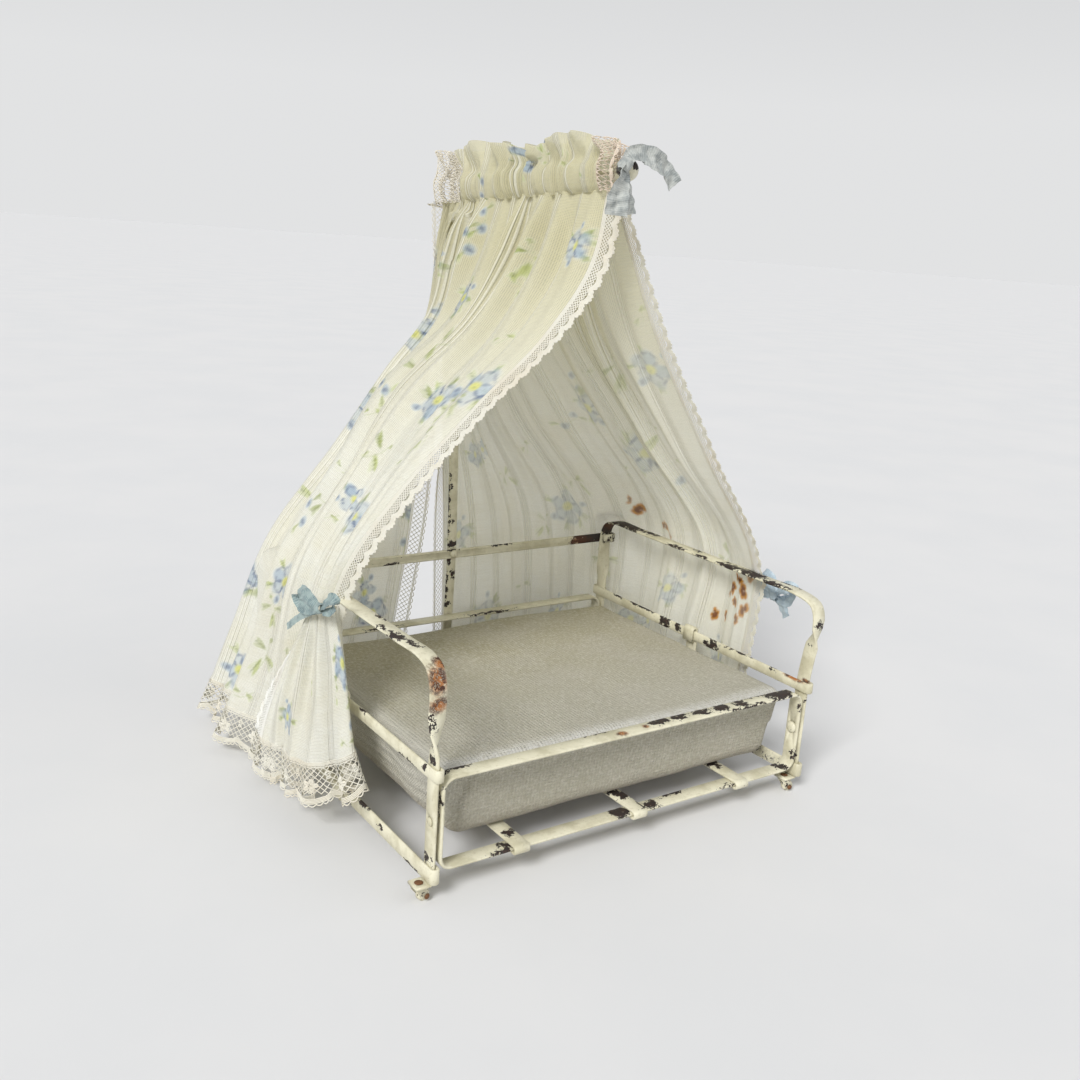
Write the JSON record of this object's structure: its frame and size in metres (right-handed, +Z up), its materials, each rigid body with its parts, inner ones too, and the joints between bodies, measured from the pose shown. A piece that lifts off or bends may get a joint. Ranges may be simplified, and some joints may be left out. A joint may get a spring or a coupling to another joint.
{
  "type": "dolls house canopy bed",
  "caption": "Miniature metal-strip day bed with a loose mattress, rolling casters and a gathered canopy hung from one rear pole.",
  "frame": {"origin": "bottom centre of the bounding box, on the floor", "axes": "+Z up; +X along the bed from its left end to its right end; +Y from the front to the back, where the pole stands"},
  "size_m": [0.1758, 0.144, 0.2078],
  "materials": {
    "enamel": "old ivory enamel, chipped",
    "worn_enamel": "ivory enamel worn and rusty",
    "rusty_pin": "rusty",
    "bead": "ivory enamel",
    "flannel": "short nap",
    "voile": "thin, corded and flower-printed",
    "lace": "cotton lace",
    "ribbon": "faded ribbed ribbon"
  },
  "bodies": {
    "bed": {"loop_rivet_front_left": "enamel", "loop_rivet_rear_left": "enamel", "arm_hoop_left": "enamel", "mid_side_rail_left": "enamel", "bottom_side_rail_left": "enamel", "end_bar_left": "enamel", "loop_rivet_front_right": "enamel", "loop_rivet_rear_right": "enamel", "arm_hoop_right": "enamel", "mid_side_rail_right": "enamel", "bottom_side_rail_right": "enamel", "end_bar_right": "enamel", "front_loop": "enamel", "rear_loop": "enamel", "slat_left": "enamel", "slat_middle": "enamel", "slat_right": "enamel", "high_rear_rail": "enamel", "canopy_pole": "enamel", "pole_rivet_high": "enamel", "pole_rivet_foot": "enamel", "rod_end_bead": "bead", "swivel_pin_front_left": "rusty_pin", "swivel_pin_front_right": "rusty_pin", "swivel_pin_rear_left": "rusty_pin", "swivel_pin_rear_right": "rusty_pin", "canopy_left_drape": "voile", "canopy_left_edge_lace": "lace", "canopy_left_hem_lace": "lace", "canopy_right_drape": "voile", "canopy_right_edge_lace": "lace", "canopy_right_hem_lace": "lace", "canopy_heading": "voile", "bow_rod_end": "ribbon", "bow_left_arm": "ribbon", "bow_right_arm": "ribbon"},
    "mattress": {"mattress": "flannel"},
    "caster_front_left": {"caster_fork_front_left": "worn_enamel", "caster_axle_front_left": "rusty_pin"},
    "wheel_front_left": {"caster_wheel_front_left": "worn_enamel"},
    "caster_front_right": {"caster_fork_front_right": "worn_enamel", "caster_axle_front_right": "rusty_pin"},
    "wheel_front_right": {"caster_wheel_front_right": "worn_enamel"},
    "caster_rear_left": {"caster_fork_rear_left": "worn_enamel", "caster_axle_rear_left": "rusty_pin"},
    "wheel_rear_left": {"caster_wheel_rear_left": "worn_enamel"},
    "caster_rear_right": {"caster_fork_rear_right": "worn_enamel", "caster_axle_rear_right": "rusty_pin"},
    "wheel_rear_right": {"caster_wheel_rear_right": "worn_enamel"}
  },
  "joints": [
    {"name": "swivel_front_left", "type": "hinge", "parent": "bed", "child": "caster_front_left", "pos_m": [-0.07193, -0.06747, 0], "axis": [0, 0, 1], "continuous": true},
    {"name": "spin_front_left", "type": "hinge", "parent": "caster_front_left", "child": "wheel_front_left", "pos_m": [-0.07046, -0.06716, 0.00183], "axis": [-0.2079, 0.9781, 0], "continuous": true},
    {"name": "swivel_front_right", "type": "hinge", "parent": "bed", "child": "caster_front_right", "pos_m": [0.06807, -0.06747, 0], "axis": [0, 0, 1], "continuous": true},
    {"name": "spin_front_right", "type": "hinge", "parent": "caster_front_right", "child": "wheel_front_right", "pos_m": [0.06951, -0.06788, 0.00183], "axis": [0.2756, 0.9613, 0], "continuous": true},
    {"name": "swivel_rear_left", "type": "hinge", "parent": "bed", "child": "caster_rear_left", "pos_m": [-0.07193, 0.04373, 0], "axis": [0, 0, 1], "continuous": true},
    {"name": "spin_rear_left", "type": "hinge", "parent": "caster_rear_left", "child": "wheel_rear_left", "pos_m": [-0.07068, 0.04457, 0.00183], "axis": [-0.5592, 0.829, 0], "continuous": true},
    {"name": "swivel_rear_right", "type": "hinge", "parent": "bed", "child": "caster_rear_right", "pos_m": [0.06807, 0.04373, 0], "axis": [0, 0, 1], "continuous": true},
    {"name": "spin_rear_right", "type": "hinge", "parent": "caster_rear_right", "child": "wheel_rear_right", "pos_m": [0.0694, 0.04303, 0.00183], "axis": [0.4695, 0.8829, 0], "continuous": true},
    {"name": "mattress_lift", "type": "slide", "parent": "bed", "child": "mattress", "axis": [0, 0, 1], "range_m": [0, 0.028]}
  ]
}
